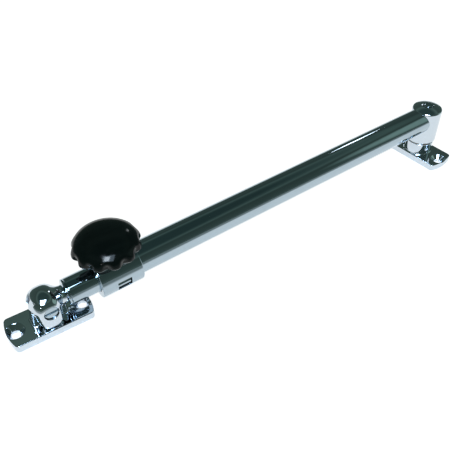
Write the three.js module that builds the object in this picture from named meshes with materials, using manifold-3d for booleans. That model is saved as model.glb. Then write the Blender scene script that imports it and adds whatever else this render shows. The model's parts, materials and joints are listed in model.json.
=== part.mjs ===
// Telescopic casement window stay, in millimetres, +Z up.
// The origin is the centre of the left base's underside, and +X runs along the stay.
// Everything beyond the fork is built level about the pivot pin, then tilted as one group.
import * as THREE from 'three';
import { mergeVertices } from 'three/addons/utils/BufferGeometryUtils.js';
import Module from 'manifold-3d';

const wasm = await Module();
wasm.setup();

// Driving dimensions.
const tubeRadius = 8;            // outer tube, 16 mm across
const tubeBore = 7.2;
const innerRadius = 6.7;         // sliding inner tube
const innerBore = 5.4;
const reach = 255.3;             // pivot pin to swivel pin, closed
const pinHeight = 13.6;          // pivot pin above the left base's underside
const rightHeight = 27.4;        // tube axis above the right base's underside
const rightTurn = 2.9 * Math.PI / 180;   // how far the right base is swivelled at rest
const clearance = 0.3;           // between touching or sliding pieces
const smooth = 40;               // sides of a large round
const small = 20;                // sides of a small round

const plate = {
  length: 40.4, width: 18.8, thickness: 4.2, sagitta: 1.7, cornerRadius: 1.2,
  screwSpacing: 32.4, screwHole: 2.2, countersink: 4.6, countersinkDepth: 2.4,
};
// The lug's flanks widen to the foot, and its head is a half ellipse about a point below the pin.
const lug = {
  halfWidth: 2.6, halfLength: 7.7, headFrom: -2.5, headRise: 8.6, footLength: 8.2, footRise: 1.7, flare: 0.6,
  bore: 3.8,
};
const pin = {
  radius: 2.5, endRadius: 1.9, end: 7.6, endStart: 5.2, headRadius: 3.3, headTop: 7.4, headFloor: 5.5,
  slot: 1.1, slotDepth: 0.9, nutTop: 7.3, nutSlotDepth: 0.7, bushRadius: 3.5,
  washerRadius: 6.4, washerThickness: 0.4,
};
// The knuckle's plan is a softened oval, a little to the left of the pin.
const fork = {
  lean: -0.6, halfLength: 7.3, halfDepth: 8.6, squareness: 2.5, domeFrom: 1.1, domeHeight: 7.3,
  cheek: 8.4, cheekRadius: 6, bottom: -9, slot: 3.6, neckEnd: 9.2,
};
// From the root in the dome to the neck's parallel part: radius and distance from the pin.
const neck = [[6, 3], [5.5, 5.8], [4.9, 7.2], [4.6, 8]];
// The slot inside the knuckle: a round roof, a ramp to the left of roofEnd and a stepped right wall.
const room = {
  radius: 6.8, roofEnd: 98 * Math.PI / 180, roofStart: 40 * Math.PI / 180,
  shoulder: [6.8, 2.6], right: [8.1, 0], heel: [8.8, -5], far: 14,
};
const swivel = {
  radius: 2.8, stubEnd: 14, endRadius: 1.8, tipEnd: 17.2, start: 9.5, flangeEnd: 10.5, bore: 3.1,
  pocket: 4, pocketStart: 13.7, end: 24, collarRadius: 3.7, collarStart: 14.3, collarEnd: 16.8,
};
const inner = { start: 10.8, end: 216, pinAt: 20 };
const lock = { pin: 1.2, hole: 1.5, fromBarrel: 20 };      // the pins that lock the plug and the barrel
const guide = { bore: 2, insert: 11, flange: 3 };
const sleeve = {
  start: 24.5, end: 46, radius: 10.2, bore: 8.3, lip: 1.2, bossRadius: 5.2, bossTop: 11.6,
  tubeInside: 4.5, bushLength: 2.6,
};
const keyWindow = { start: 32, length: 7.2, low: -5.3, high: 0.7, back: -4 };
const key = { recess: 0.9, inside: 7.5, chamferFrom: -2.2, chamfer: 28 };   // chamfer in degrees from upright
const knob = {
  at: 33.6, radius: 16.5, bottom: 12, rimLow: 16.9, rimHigh: 17.4, top: 25, crownSide: 2.5, crownRise: 1.8,
  lobes: 12, lobePhase: -9 * Math.PI / 180, fluteRadius: 3.4, fluteDepth: 1.6, fluteEnd: 20.6,
};
const stud = { radius: 2.7, tip: 8.7, end: 18.4, insertRadius: 4, insertTop: 19.2, chamfer: 0.7 };
const shoe = { radius: 2.4, low: 7.05, high: 8.4 };
const barrel = {
  radius: 9.1, bottom: -14.3, shoulder: 7, top: 9.7, spigotRadius: 6.9, spigotLength: 29, bore: 4.5,
  boreTop: 6.4, bushLength: 8,
};
const post = { shank: 2.4, headRadius: 3, headThickness: 1.1, endRadius: 2, nutRadius: 4.2, nutHeight: 2.5 };
const boss = { radius: 8.4, top: -15.5 };

// Finishes of the real pieces.
const finishes = {
  chrome: { color: 0xc4ccd0, roughness: 0.08, metalness: 1 },
  steel: { color: 0x9a9ea2, roughness: 0.35, metalness: 1 },
  brass: { color: 0xb9975a, roughness: 0.3, metalness: 1 },
  nylon: { color: 0xe2e0d6, roughness: 0.6, metalness: 0 },
  phenolic: { color: 0x101617, roughness: 0.16, metalness: 0 },
};

// ---- Solids ----------------------------------------------------------------

function solid(geometry) {
  const bare = geometry.index ? geometry.toNonIndexed() : geometry;
  bare.deleteAttribute('normal');
  bare.deleteAttribute('uv');
  const merged = mergeVertices(bare, 1e-4);
  return new wasm.Manifold(new wasm.Mesh({
    numProp: 3,
    vertProperties: new Float32Array(merged.attributes.position.array),
    triVerts: new Uint32Array(merged.index.array),
  }));
}

function geometryOf(manifold) {
  const mesh = manifold.getMesh();
  const geometry = new THREE.BufferGeometry();
  geometry.setAttribute('position', new THREE.BufferAttribute(mesh.vertProperties, 3));
  geometry.setIndex(new THREE.BufferAttribute(mesh.triVerts, 1));
  geometry.computeVertexNormals();
  return geometry;
}

// A turned solid: the profile lists [radius, distance along the axis] and starts and ends on the axis.
function turned(profile, axis, sides = smooth) {
  const points = profile.map(([radius, along]) => new THREE.Vector2(radius, along));
  const geometry = new THREE.LatheGeometry(points, sides);
  if (axis === 'x') geometry.rotateZ(-Math.PI / 2);
  if (axis === 'z') geometry.rotateX(Math.PI / 2);
  return solid(geometry);
}

function rod(radius, from, to, axis, sides = smooth) {
  return turned([[0, from], [radius, from], [radius, to], [0, to]], axis, sides);
}

// A ring or a length of tube: one closed section turned about its axis.
function tube(radius, bore, from, to, axis, sides = smooth) {
  return turned([[bore, from], [radius, from], [radius, to], [bore, to], [bore, from]], axis, sides);
}

function block(low, high) {
  const size = low.map((value, i) => high[i] - value);
  const geometry = new THREE.BoxGeometry(...size);
  geometry.translate(...low.map((value, i) => value + size[i] / 2));
  return solid(geometry);
}

function moved(manifold, x, y, z) {
  return manifold.translate([x, y, z]);
}

// A side-view outline in x and z, extruded along y from -half to +half.
function sideOutline(shape, half, curveSegments = 16) {
  const geometry = new THREE.ExtrudeGeometry(shape, { depth: 2 * half, bevelEnabled: false, curveSegments });
  geometry.translate(0, 0, -half);
  geometry.rotateX(Math.PI / 2);
  return solid(geometry);
}

// ---- Bases -----------------------------------------------------------------

// The outline of both bases: straight sides, shallow arcs at the ends, softened corners.
function plateOutline() {
  const { length, width, sagitta, cornerRadius } = plate;
  const side = width / 2;
  const corner = length / 2 - sagitta;
  const bow = (side * side + sagitta * sagitta) / (2 * sagitta);
  const centre = length / 2 - bow;
  const edge = side - cornerRadius;
  const spread = Math.asin(edge / bow);
  const outline = new THREE.Shape();
  outline.moveTo(-corner + cornerRadius, -side);
  outline.lineTo(corner - cornerRadius, -side);
  outline.quadraticCurveTo(corner, -side, centre + bow * Math.cos(spread), -edge);
  outline.absarc(centre, 0, bow, -spread, spread, false);
  outline.quadraticCurveTo(corner, side, corner - cornerRadius, side);
  outline.lineTo(-corner + cornerRadius, side);
  outline.quadraticCurveTo(-corner, side, -centre - bow * Math.cos(spread), edge);
  outline.absarc(-centre, 0, bow, Math.PI - spread, Math.PI + spread, false);
  outline.quadraticCurveTo(-corner, -side, -corner + cornerRadius, -side);
  return outline;
}

// A flat base plate on z = 0 with two countersunk screw holes along x.
function basePlate() {
  const edge = 0.35;
  const wide = plate.length;
  const geometry = new THREE.ExtrudeGeometry(plateOutline(), {
    depth: plate.thickness - edge, curveSegments: 6,
    bevelEnabled: true, bevelThickness: edge, bevelSize: edge, bevelOffset: -edge, bevelSegments: 1,
  });
  let body = solid(geometry).intersect(block([-wide, -wide, 0], [wide, wide, plate.thickness]));
  const { screwHole, countersink, countersinkDepth, thickness } = plate;
  const over = 0.5;
  const slope = (countersink - screwHole) / countersinkDepth;
  const cutter = turned([
    [0, -over], [screwHole, -over], [screwHole, thickness - countersinkDepth],
    [countersink + slope * over, thickness + over], [0, thickness + over],
  ], 'z', small);
  for (const side of [-1, 1]) {
    body = body.subtract(moved(cutter, side * plate.screwSpacing / 2, 0, 0));
  }
  return body;
}

// The lug is a round-headed tongue that widens to its foot and flares where it meets the plate.
function lugTongue() {
  const { halfLength, headFrom, headRise, footLength, footRise, flare, halfWidth } = lug;
  const sunk = plate.thickness - 0.4;
  const foot = plate.thickness + 0.1;
  const head = pinHeight + headFrom;
  const outline = new THREE.Shape();
  outline.moveTo(-footLength - flare, sunk);
  outline.lineTo(footLength + flare, sunk);
  outline.lineTo(footLength + flare, foot);
  outline.quadraticCurveTo(footLength, foot, footLength, plate.thickness + footRise);
  outline.lineTo(halfLength, head);
  outline.absellipse(0, head, halfLength, headRise, 0, Math.PI, false, 0);
  outline.lineTo(-footLength, plate.thickness + footRise);
  outline.quadraticCurveTo(-footLength, foot, -footLength - flare, foot);
  outline.lineTo(-footLength - flare, sunk);
  return sideOutline(outline, halfWidth);
}

function leftBase() {
  const through = lug.halfWidth + 1;
  const bore = moved(rod(lug.bore, -through, through, 'y', small), 0, 0, pinHeight);
  return basePlate().add(lugTongue()).subtract(bore);
}

// Built about the swivel pin, with the tube axis at z = 0.
function rightBase() {
  const plateTop = plate.thickness - rightHeight;
  let body = moved(basePlate().rotate([0, 0, 90]), 0, 0, -rightHeight);
  body = body.add(turned([
    [0, plateTop - 1], [boss.radius, plateTop - 1], [boss.radius, boss.top - 0.4],
    [boss.radius - 0.4, boss.top], [0, boss.top],
  ], 'z'));
  body = body.subtract(rod(post.shank + clearance, -rightHeight - 1, boss.top + 1, 'z', small));
  const nutCeiling = -rightHeight + post.nutHeight + 0.6;
  return body.subtract(rod(post.nutRadius + clearance, -rightHeight - 1, nutCeiling, 'z', small));
}

// ---- Fork and its pin ------------------------------------------------------

// A post on a softened oval plan with an elliptical dome, standing on z = low.
function ovalDome(low) {
  const { halfLength, halfDepth, squareness, domeFrom, domeHeight } = fork;
  const points = [new THREE.Vector2(0, low), new THREE.Vector2(1, low)];
  const steps = 8;
  for (let i = 0; i < steps; i += 1) {
    const angle = i / steps * Math.PI / 2;
    points.push(new THREE.Vector2(Math.cos(angle), domeFrom + domeHeight * Math.sin(angle)));
  }
  points.push(new THREE.Vector2(0, domeFrom + domeHeight));
  const geometry = new THREE.LatheGeometry(points, smooth);
  geometry.rotateX(Math.PI / 2);
  const corners = geometry.attributes.position;
  for (let i = 0; i < corners.count; i += 1) {
    const x = corners.getX(i);
    const y = corners.getY(i);
    const square = (Math.abs(x) ** squareness + Math.abs(y) ** squareness) ** (1 / squareness);
    const stretch = square > 0 ? Math.hypot(x, y) / square : 0;
    corners.setXY(i, x * stretch * halfLength, y * stretch * halfDepth);
  }
  return solid(geometry);
}

// The side view of the cheeks: round below, waisted on the left and nearly straight on the right.
function cheekOutline() {
  const { halfLength, domeFrom, domeHeight, cheekRadius, bottom } = fork;
  const wide = halfLength + 1;
  const high = domeFrom + domeHeight + 1;
  const centre = bottom + cheekRadius;
  const outline = new THREE.Shape();
  outline.moveTo(wide, high);
  outline.lineTo(-wide, high);
  outline.lineTo(-wide, domeFrom);
  outline.lineTo(-halfLength, domeFrom);
  outline.quadraticCurveTo(-cheekRadius, domeFrom - 1, -cheekRadius, centre);
  outline.absarc(0, centre, cheekRadius, Math.PI, 2 * Math.PI, false);
  outline.lineTo(cheekRadius + 0.6, domeFrom);
  outline.lineTo(wide, domeFrom);
  outline.lineTo(wide, high);
  return outline;
}

// Built about the pivot pin: a domed, slotted knuckle with round-bottomed cheeks and a neck.
function forkKnuckle() {
  const { lean, cheek, bottom, neckEnd } = fork;
  const edge = 0.4;
  const neckRadius = neck[neck.length - 1][0];
  let body = ovalDome(bottom - 1).intersect(sideOutline(cheekOutline(), cheek, 12));
  body = moved(body, lean, 0, 0).add(turned([
    [0, neck[0][1]], ...neck, [neckRadius, neckEnd - edge], [neckRadius - edge, neckEnd],
    [swivel.radius, neckEnd], [swivel.radius, swivel.stubEnd], [swivel.endRadius, swivel.stubEnd],
    [swivel.endRadius, swivel.tipEnd], [0, swivel.tipEnd],
  ], 'x', 24));
  body = body.subtract(lugRoom());
  const beyond = cheek + 1;
  body = body.subtract(rod(pin.radius + clearance, -beyond, beyond, 'y', small));
  const headRoom = pin.headRadius + clearance;
  const floor = pin.headFloor - clearance;
  body = body.subtract(rod(headRoom, -beyond, -floor, 'y', small));
  return body.subtract(rod(headRoom, floor, beyond, 'y', small));
}

// The space that the lug sweeps inside the fork as it tilts, open below and to the left.
function lugRoom() {
  const { radius, roofStart, roofEnd, shoulder, right, heel, far } = room;
  const [roofX, roofZ] = [radius * Math.cos(roofEnd), radius * Math.sin(roofEnd)];
  const outline = new THREE.Shape();
  outline.moveTo(...right);
  outline.lineTo(...heel);
  outline.lineTo(heel[0], -far);
  outline.lineTo(-far, -far);
  outline.lineTo(roofX - far * Math.sin(roofEnd), roofZ + far * Math.cos(roofEnd));
  outline.lineTo(roofX, roofZ);
  outline.absarc(0, 0, radius, roofEnd, roofStart, true);
  outline.lineTo(...shoulder);
  outline.lineTo(...right);
  return sideOutline(outline, fork.slot);
}

function pivotScrew() {
  const { radius, endRadius, end, endStart, headRadius, headTop, headFloor, slot, slotDepth } = pin;
  const edge = 0.4;
  const body = turned([
    [0, -headTop], [headRadius - edge, -headTop], [headRadius, -headTop + edge], [headRadius, -headFloor],
    [radius, -headFloor], [radius, endStart], [endRadius, endStart], [endRadius, end], [0, end],
  ], 'y', small);
  const wide = headRadius + 1;
  return body.subtract(block([-wide, -headTop - 1, -slot / 2], [wide, -headTop + slotDepth, slot / 2]));
}

function pivotNut() {
  const { headRadius, headFloor, endRadius, nutTop, nutSlotDepth, slot } = pin;
  const ring = tube(headRadius, endRadius + clearance, headFloor, nutTop, 'y', small);
  const wide = headRadius + 1;
  return ring.subtract(block([-wide, nutTop - nutSlotDepth, -slot / 2], [wide, nutTop + 1, slot / 2]));
}

function forkWasher(side) {
  const near = side * (lug.halfWidth + clearance);
  const far = side * (lug.halfWidth + clearance + pin.washerThickness);
  return tube(pin.washerRadius, pin.radius + clearance, Math.min(near, far), Math.max(near, far), 'y', small);
}

// ---- Swivel plug and inner tube ---------------------------------------------

function swivelPlug() {
  const { start, flangeEnd, bore, pocket, pocketStart, end } = swivel;
  const body = innerBore - clearance;
  const edge = 0.4;
  const ring = turned([
    [bore, start], [innerRadius - edge, start], [innerRadius, start + edge], [innerRadius, flangeEnd],
    [body, flangeEnd], [body, end], [pocket, end], [pocket, pocketStart], [bore, pocketStart], [bore, start],
  ], 'x', 28);
  return ring.subtract(crossHole(inner.pinAt, innerBore + 1, 3));
}

// A hole across the tubes for a locking pin, cut upwards from one depth below the axis to another.
function crossHole(at, deep, shallow) {
  return moved(rod(lock.hole, -deep, -shallow, 'z', 16), at, 0, 0);
}

function innerTube() {
  const body = tube(innerRadius, innerBore, inner.start, inner.end, 'x');
  return body.subtract(crossHole(inner.pinAt, innerRadius + 1, 4));
}

function tailGuide() {
  const body = innerBore - clearance;
  const slider = tubeBore - clearance;
  const edge = 0.4;
  const [from, to] = [inner.end - guide.insert, inner.end + guide.flange];
  return turned([
    [guide.bore, from], [body, from], [body, inner.end + clearance], [slider, inner.end + clearance],
    [slider, to - edge], [slider - edge, to], [guide.bore, to], [guide.bore, from],
  ], 'x', 28);
}

// ---- Outer tube, sleeve and clamp --------------------------------------------

function outerTube() {
  const beyond = tubeRadius + 2;
  let body = tube(tubeRadius, tubeBore, sleeve.start + sleeve.tubeInside, reach, 'x');
  body = body.subtract(moved(rod(barrel.radius + clearance, -beyond, beyond, 'z'), reach, 0, 0));
  body = body.subtract(moved(rod(shoe.radius + 0.5, 2, beyond, 'z', small), knob.at, 0, 0));
  body = body.subtract(crossHole(reach - lock.fromBarrel, beyond, 4));
  return body.subtract(keyRoom());
}

// The rectangular window through the sleeve and the tube behind it, on the front side.
function keyRoom() {
  const { start, length, low, high, back } = keyWindow;
  return block([start, -sleeve.radius - 1, low], [start + length, back, high]);
}

function clampSleeve() {
  const { start, end, radius, bore, lip, bossRadius, bossTop } = sleeve;
  const edge = 0.4;
  const mouth = innerRadius + clearance;
  let body = turned([
    [mouth, start], [radius - edge, start], [radius, start + edge], [radius, end - edge],
    [radius - edge, end], [bore, end], [bore, start + lip], [mouth, start + lip], [mouth, start],
  ], 'x');
  const bossBody = moved(rod(bossRadius, radius - 1, bossTop, 'z', small), knob.at, 0, 0);
  body = body.add(bossBody.subtract(rod(bore, start, end, 'x')));
  body = body.subtract(moved(rod(stud.radius + 0.6, bore - 2, bossTop + 1, 'z', small), knob.at, 0, 0));
  return body.subtract(keyRoom());
}

function mouthBush() {
  const start = sleeve.start + sleeve.lip + clearance;
  return tube(tubeRadius, innerRadius + clearance, start, start + sleeve.bushLength, 'x');
}

// The key fills the window and locks the sleeve to the outer tube. Its upper half is chamfered.
function sleeveKey() {
  const { start, length, low, high, back } = keyWindow;
  const outside = sleeve.radius - key.recess;
  const front = -outside - 1;
  const shell = tube(outside, key.inside, start + clearance, start + length - clearance, 'x');
  const end = start + length;
  const body = shell.intersect(block([start, front, low + clearance], [end, back, high - clearance]));
  const angle = key.chamfer * Math.PI / 180;
  const edge = Math.sqrt(outside ** 2 - key.chamferFrom ** 2);
  const face = edge * Math.cos(angle) + key.chamferFrom * Math.sin(angle);
  const behind = block([start, -face, -outside], [end, outside, outside]).rotate([-key.chamfer, 0, 0]);
  return body.intersect(behind);
}

// A low crown over a lobed rim, on a skirt that tapers in towards the sleeve.
function knobBody() {
  const { radius, bottom, rimLow, rimHigh, top, crownSide, crownRise } = knob;
  const { lobes, lobePhase, fluteRadius, fluteDepth, fluteEnd } = knob;
  const taper = rimLow - bottom;
  const profile = [
    [0, bottom], [radius - taper, bottom], [radius - taper + 1, bottom + 0.5], [radius - 0.5, rimLow - 0.8],
    [radius, rimLow], [radius, rimHigh],
  ];
  const steps = 8;
  for (let i = 1; i < steps; i += 1) {
    const rise = Math.sin(i / steps * Math.PI / 2);
    const across = radius * (1 - rise ** crownRise) ** (1 / crownSide);
    profile.push([across, rimHigh + (top - rimHigh) * rise]);
  }
  profile.push([0, top]);
  let body = turned(profile, 'z', 48);
  const flute = turned([
    [0, bottom - 1], [fluteRadius, bottom - 1], [fluteRadius, rimHigh], [fluteRadius * 0.6, fluteEnd - 1.2],
    [0, fluteEnd],
  ], 'z', 12);
  const away = radius + fluteRadius - fluteDepth;
  for (let i = 0; i < lobes; i += 1) {
    const angle = lobePhase + (i + 0.5) * 2 * Math.PI / lobes;
    body = body.subtract(moved(flute, away * Math.cos(angle), away * Math.sin(angle), 0));
  }
  const socketTop = stud.insertTop + clearance;
  return body.subtract(rod(stud.insertRadius + clearance, bottom - 1, socketTop, 'z', small));
}

function knobInsert() {
  const { radius, end, insertRadius, insertTop } = stud;
  const body = rod(insertRadius, knob.bottom + clearance, insertTop, 'z', small);
  return body.subtract(rod(radius + clearance, knob.bottom - 1, end + clearance, 'z', small));
}

function clampStud() {
  const { radius, tip, end, chamfer } = stud;
  return turned([
    [0, tip], [radius - chamfer, tip], [radius, tip + chamfer], [radius, end], [0, end],
  ], 'z', small);
}

// The shoe's lower face is hollowed to sit on the inner tube.
function brakeShoe() {
  const body = rod(shoe.radius, shoe.low - 1, shoe.high, 'z', small);
  const wide = shoe.radius + 1;
  return body.subtract(rod(innerRadius + clearance, -wide, wide, 'x'));
}

// ---- Barrel and right-hand swivel --------------------------------------------

// Built about the swivel pin, with the tube axis at z = 0 and the spigot pointing to -x.
function barrelBody() {
  const { radius, bottom, shoulder, top, spigotRadius, spigotLength, bore, boreTop } = barrel;
  const edge = 0.4;
  const chamfer = 0.8;
  const profile = [[0, bottom], [radius - edge, bottom], [radius, bottom + edge], [radius, shoulder]];
  const steps = 7;
  for (let i = 1; i < steps; i += 1) {
    const angle = i / steps * Math.PI / 2;
    profile.push([radius * Math.cos(angle) ** 0.7, shoulder + (top - shoulder) * Math.sin(angle)]);
  }
  profile.push([0, top]);
  let body = turned(profile, 'z');
  const spigot = turned([
    [0, -spigotLength], [spigotRadius - chamfer, -spigotLength], [spigotRadius, -spigotLength + chamfer],
    [spigotRadius, 0], [0, 0],
  ], 'x');
  body = body.add(spigot);
  body = body.subtract(rod(bore, bottom - 1, boreTop, 'z', small));
  body = body.subtract(rod(post.shank + clearance, 0, top + 1, 'z', small));
  const headFloor = top - post.headThickness - 0.1;
  body = body.subtract(rod(post.headRadius + clearance, headFloor, top + 1, 'z', small));
  return body.subtract(crossHole(-lock.fromBarrel, spigotRadius + 1, 3));
}

function barrelBush(low) {
  return tube(barrel.bore - clearance, post.shank + clearance, low, low + barrel.bushLength, 'z', small);
}

// Headed at the top of the barrel, with a reduced end for the nut under the base.
function swivelPin() {
  const { shank, headRadius, headThickness, endRadius, nutHeight } = post;
  const headFloor = barrel.top - headThickness + 0.2;
  const endStart = -rightHeight + nutHeight + 0.6;
  return turned([
    [0, -rightHeight + 0.4], [endRadius, -rightHeight + 0.4], [endRadius, endStart], [shank, endStart],
    [shank, headFloor], [headRadius, headFloor], [headRadius, barrel.top - 0.1],
    [headRadius - 0.9, barrel.top + 0.2], [0, barrel.top + 0.3],
  ], 'z', small);
}

function swivelNut() {
  const low = -rightHeight + 0.3;
  return tube(post.nutRadius, post.endRadius + clearance, low, low + post.nutHeight, 'z', small);
}

function thrustWasher() {
  const [low, high] = [boss.top + clearance, barrel.bottom - clearance];
  return tube(barrel.radius - 1.1, post.shank + clearance, low, high, 'z', 28);
}

function lockingPin(from, to) {
  return rod(lock.pin, from, to, 'z', 16);
}

// ---- Assembly ----------------------------------------------------------------

function piece(name, manifold, finish, parent, at = [0, 0, 0]) {
  const material = new THREE.MeshStandardMaterial(finishes[finish]);
  const mesh = new THREE.Mesh(geometryOf(manifold), material);
  mesh.name = name;
  mesh.position.set(...at);
  parent.add(mesh);
}

// The stay leans up to the right until the right base's near edge touches the ground plane.
function restingTilt() {
  const straight = plate.length / 2 - plate.sagitta;
  const edge = plate.width / 2 * Math.cos(rightTurn) + straight * Math.sin(rightTurn);
  const run = reach - edge;
  return Math.atan2(rightHeight, run) - Math.asin(pinHeight / Math.hypot(run, rightHeight));
}

const group = new THREE.Group();
piece('left_base', leftBase(), 'chrome', group);
const knuckleBush = tube(pin.bushRadius, pin.radius + clearance, -lug.halfWidth, lug.halfWidth, 'y', small);
piece('knuckle_bush', knuckleBush, 'brass', group, [0, 0, pinHeight]);

const stay = new THREE.Group();
stay.position.set(0, 0, pinHeight);
stay.rotation.y = -restingTilt();
group.add(stay);

piece('fork_knuckle', forkKnuckle(), 'chrome', stay);
piece('pivot_screw', pivotScrew(), 'chrome', stay);
piece('pivot_nut', pivotNut(), 'chrome', stay);
piece('fork_washer_front', forkWasher(-1), 'steel', stay);
piece('fork_washer_back', forkWasher(1), 'steel', stay);
const { collarRadius, collarStart, collarEnd, endRadius } = swivel;
const swivelCollar = tube(collarRadius, endRadius + clearance, collarStart, collarEnd, 'x', small);
piece('swivel_collar', swivelCollar, 'steel', stay);

piece('swivel_plug', swivelPlug(), 'chrome', stay);
piece('plug_pin', lockingPin(-6.6, -4.2), 'steel', stay, [inner.pinAt, 0, 0]);
piece('inner_tube', innerTube(), 'chrome', stay);
piece('tail_guide', tailGuide(), 'nylon', stay);

piece('outer_tube', outerTube(), 'chrome', stay);
piece('mouth_bush', mouthBush(), 'nylon', stay);
piece('clamp_sleeve', clampSleeve(), 'chrome', stay);
piece('sleeve_key', sleeveKey(), 'chrome', stay);
piece('brake_shoe', brakeShoe(), 'brass', stay, [knob.at, 0, 0]);
piece('clamp_stud', clampStud(), 'steel', stay, [knob.at, 0, 0]);
piece('knob_insert', knobInsert(), 'brass', stay, [knob.at, 0, 0]);
piece('knob_body', knobBody(), 'phenolic', stay, [knob.at, 0, 0]);

const swivelEnd = [reach, 0, 0];
piece('barrel', barrelBody(), 'chrome', stay, swivelEnd);
piece('barrel_pin', lockingPin(-7.9, -5), 'steel', stay, [reach - lock.fromBarrel, 0, 0]);
piece('barrel_bush_lower', barrelBush(barrel.bottom + 0.2), 'brass', stay, swivelEnd);
const upperBushLow = barrel.boreTop - clearance - barrel.bushLength;
piece('barrel_bush_upper', barrelBush(upperBushLow), 'brass', stay, swivelEnd);

const swivelGroup = new THREE.Group();
swivelGroup.position.set(...swivelEnd);
swivelGroup.rotation.z = rightTurn;
stay.add(swivelGroup);
piece('thrust_washer', thrustWasher(), 'nylon', swivelGroup);
piece('swivel_pin', swivelPin(), 'chrome', swivelGroup);
piece('swivel_nut', swivelNut(), 'steel', swivelGroup);
piece('right_base', rightBase(), 'chrome', swivelGroup);

export default group;
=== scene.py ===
import json
import math

import bmesh
import bpy
import numpy as np
from mathutils import Matrix, Vector


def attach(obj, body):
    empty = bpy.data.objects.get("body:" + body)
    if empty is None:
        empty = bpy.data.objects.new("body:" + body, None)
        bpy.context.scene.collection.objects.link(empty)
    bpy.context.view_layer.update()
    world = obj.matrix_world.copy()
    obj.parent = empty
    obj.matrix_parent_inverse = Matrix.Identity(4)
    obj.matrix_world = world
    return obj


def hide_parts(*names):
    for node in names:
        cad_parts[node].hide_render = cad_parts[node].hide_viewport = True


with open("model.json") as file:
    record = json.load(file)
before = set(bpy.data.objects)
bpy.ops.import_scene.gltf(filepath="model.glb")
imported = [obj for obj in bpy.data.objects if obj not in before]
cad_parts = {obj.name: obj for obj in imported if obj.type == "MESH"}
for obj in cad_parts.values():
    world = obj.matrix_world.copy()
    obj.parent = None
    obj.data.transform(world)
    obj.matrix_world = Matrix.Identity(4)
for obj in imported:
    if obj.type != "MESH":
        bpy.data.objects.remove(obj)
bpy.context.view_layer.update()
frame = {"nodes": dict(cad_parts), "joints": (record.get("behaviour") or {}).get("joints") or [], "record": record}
mm = 0.001
tiny = 1e-6

# Places: the stay's own axes run along the tubes (u), across them (v) and up through the barrel (w).

joints = {joint["name"]: joint for joint in frame["joints"]}
mounts = {mount["name"]: mount for mount in frame["record"]["mounts"]}
slotOf = {subpart["node"]: subpart["material_slot"] for subpart in frame["record"]["subparts"]}
bodyOf = {node: body for body, nodes in frame["record"]["behaviour"]["bodies"].items() for node in nodes}


def placement(origin, along, up):
    u = Vector(along).normalized()
    v = Vector(up).cross(u).normalized()
    place = Matrix((u, v, u.cross(v))).transposed().to_4x4()
    place.translation = Vector(origin)
    return place


def extent(node, place):
    inverse = place.inverted()
    points = np.array([inverse @ vertex.co for vertex in frame["nodes"][node].data.vertices]) / mm
    return points.min(0), points.max(0)


tubeAxis = joints["telescope"]["axis"]
upAxis = Vector(joints["base_swivel"]["axis"])
stayPlace = placement(joints["fork_tilt"]["pos_m"], tubeAxis, upAxis)
leftPlace = Matrix.Identity(4)
barrelPlace = placement(joints["base_swivel"]["pos_m"], tubeAxis, upAxis)
knobAt = (stayPlace.inverted() @ Vector(joints["knob_turn"]["pos_m"])).x / mm
reach = (barrelPlace.translation - stayPlace.translation).length / mm
knobPlace = stayPlace @ Matrix.Translation((knobAt * mm, 0, 0))
toMount = Vector(mounts["right_base_face"]["pos_m"]) - barrelPlace.translation
rightPlace = placement(barrelPlace.translation, toMount.cross(upAxis), upAxis)
alongTube = stayPlace @ Matrix.Rotation(math.pi / 2, 4, "Y")
acrossTube = stayPlace @ Matrix.Rotation(-math.pi / 2, 4, "X")

# Camera

cameraView = {
    "place": (-0.0328, -0.1833, 0.2159),
    "turn": 35.2,          # degrees from +Y towards +X
    "tilt": 39.6,          # degrees below level
    "roll": -1.4,
    "lens": 44.87,
    "shift": (0.0148, -0.0588),
}


def addCamera(given):
    turn, tilt, roll = (math.radians(given[key]) for key in ("turn", "tilt", "roll"))
    forward = Vector((math.sin(turn) * math.cos(tilt), math.cos(turn) * math.cos(tilt), -math.sin(tilt)))
    right = Vector((math.cos(turn), -math.sin(turn), 0))
    down = forward.cross(right)
    side = right * math.cos(roll) + down * math.sin(roll)
    data = bpy.data.cameras.new("camera")
    data.lens = given["lens"]
    data.shift_x, data.shift_y = given["shift"]
    data.clip_start = 0.01
    camera = bpy.data.objects.new("camera", data)
    bpy.context.scene.collection.objects.link(camera)
    place = Matrix((side, side.cross(forward), -forward)).transposed().to_4x4()
    place.translation = Vector(given["place"])
    camera.matrix_world = place
    bpy.context.scene.camera = camera


addCamera(cameraView)
print("camera set")

# Node trees: one sheet per tree, and sockets that do arithmetic. Streaks are turned to lie with the tubes.
tubeTurn = tuple(-angle for angle in stayPlace.to_euler())


class Value:
    def __init__(self, sheet, socket):
        self.sheet = sheet
        self.socket = socket

    def out(self, name):
        return Value(self.sheet, self.socket.node.outputs[name])

    def math(self, operation, *others):
        return self.sheet.add("ShaderNodeMath", {"operation": operation}, dict(enumerate((self, *others))))

    def __add__(self, other):
        return self.math("ADD", other)

    def __mul__(self, other):
        return self.math("MULTIPLY", other)

    def __sub__(self, other):
        return self.math("SUBTRACT", other)

    def __truediv__(self, other):
        return self.math("DIVIDE", other)

    def __pow__(self, other):
        return self.math("POWER", other)

    def __rsub__(self, other):
        return self.sheet.add("ShaderNodeMath", {"operation": "SUBTRACT"}, {0: other, 1: self})

    __radd__ = __add__
    __rmul__ = __mul__


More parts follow.
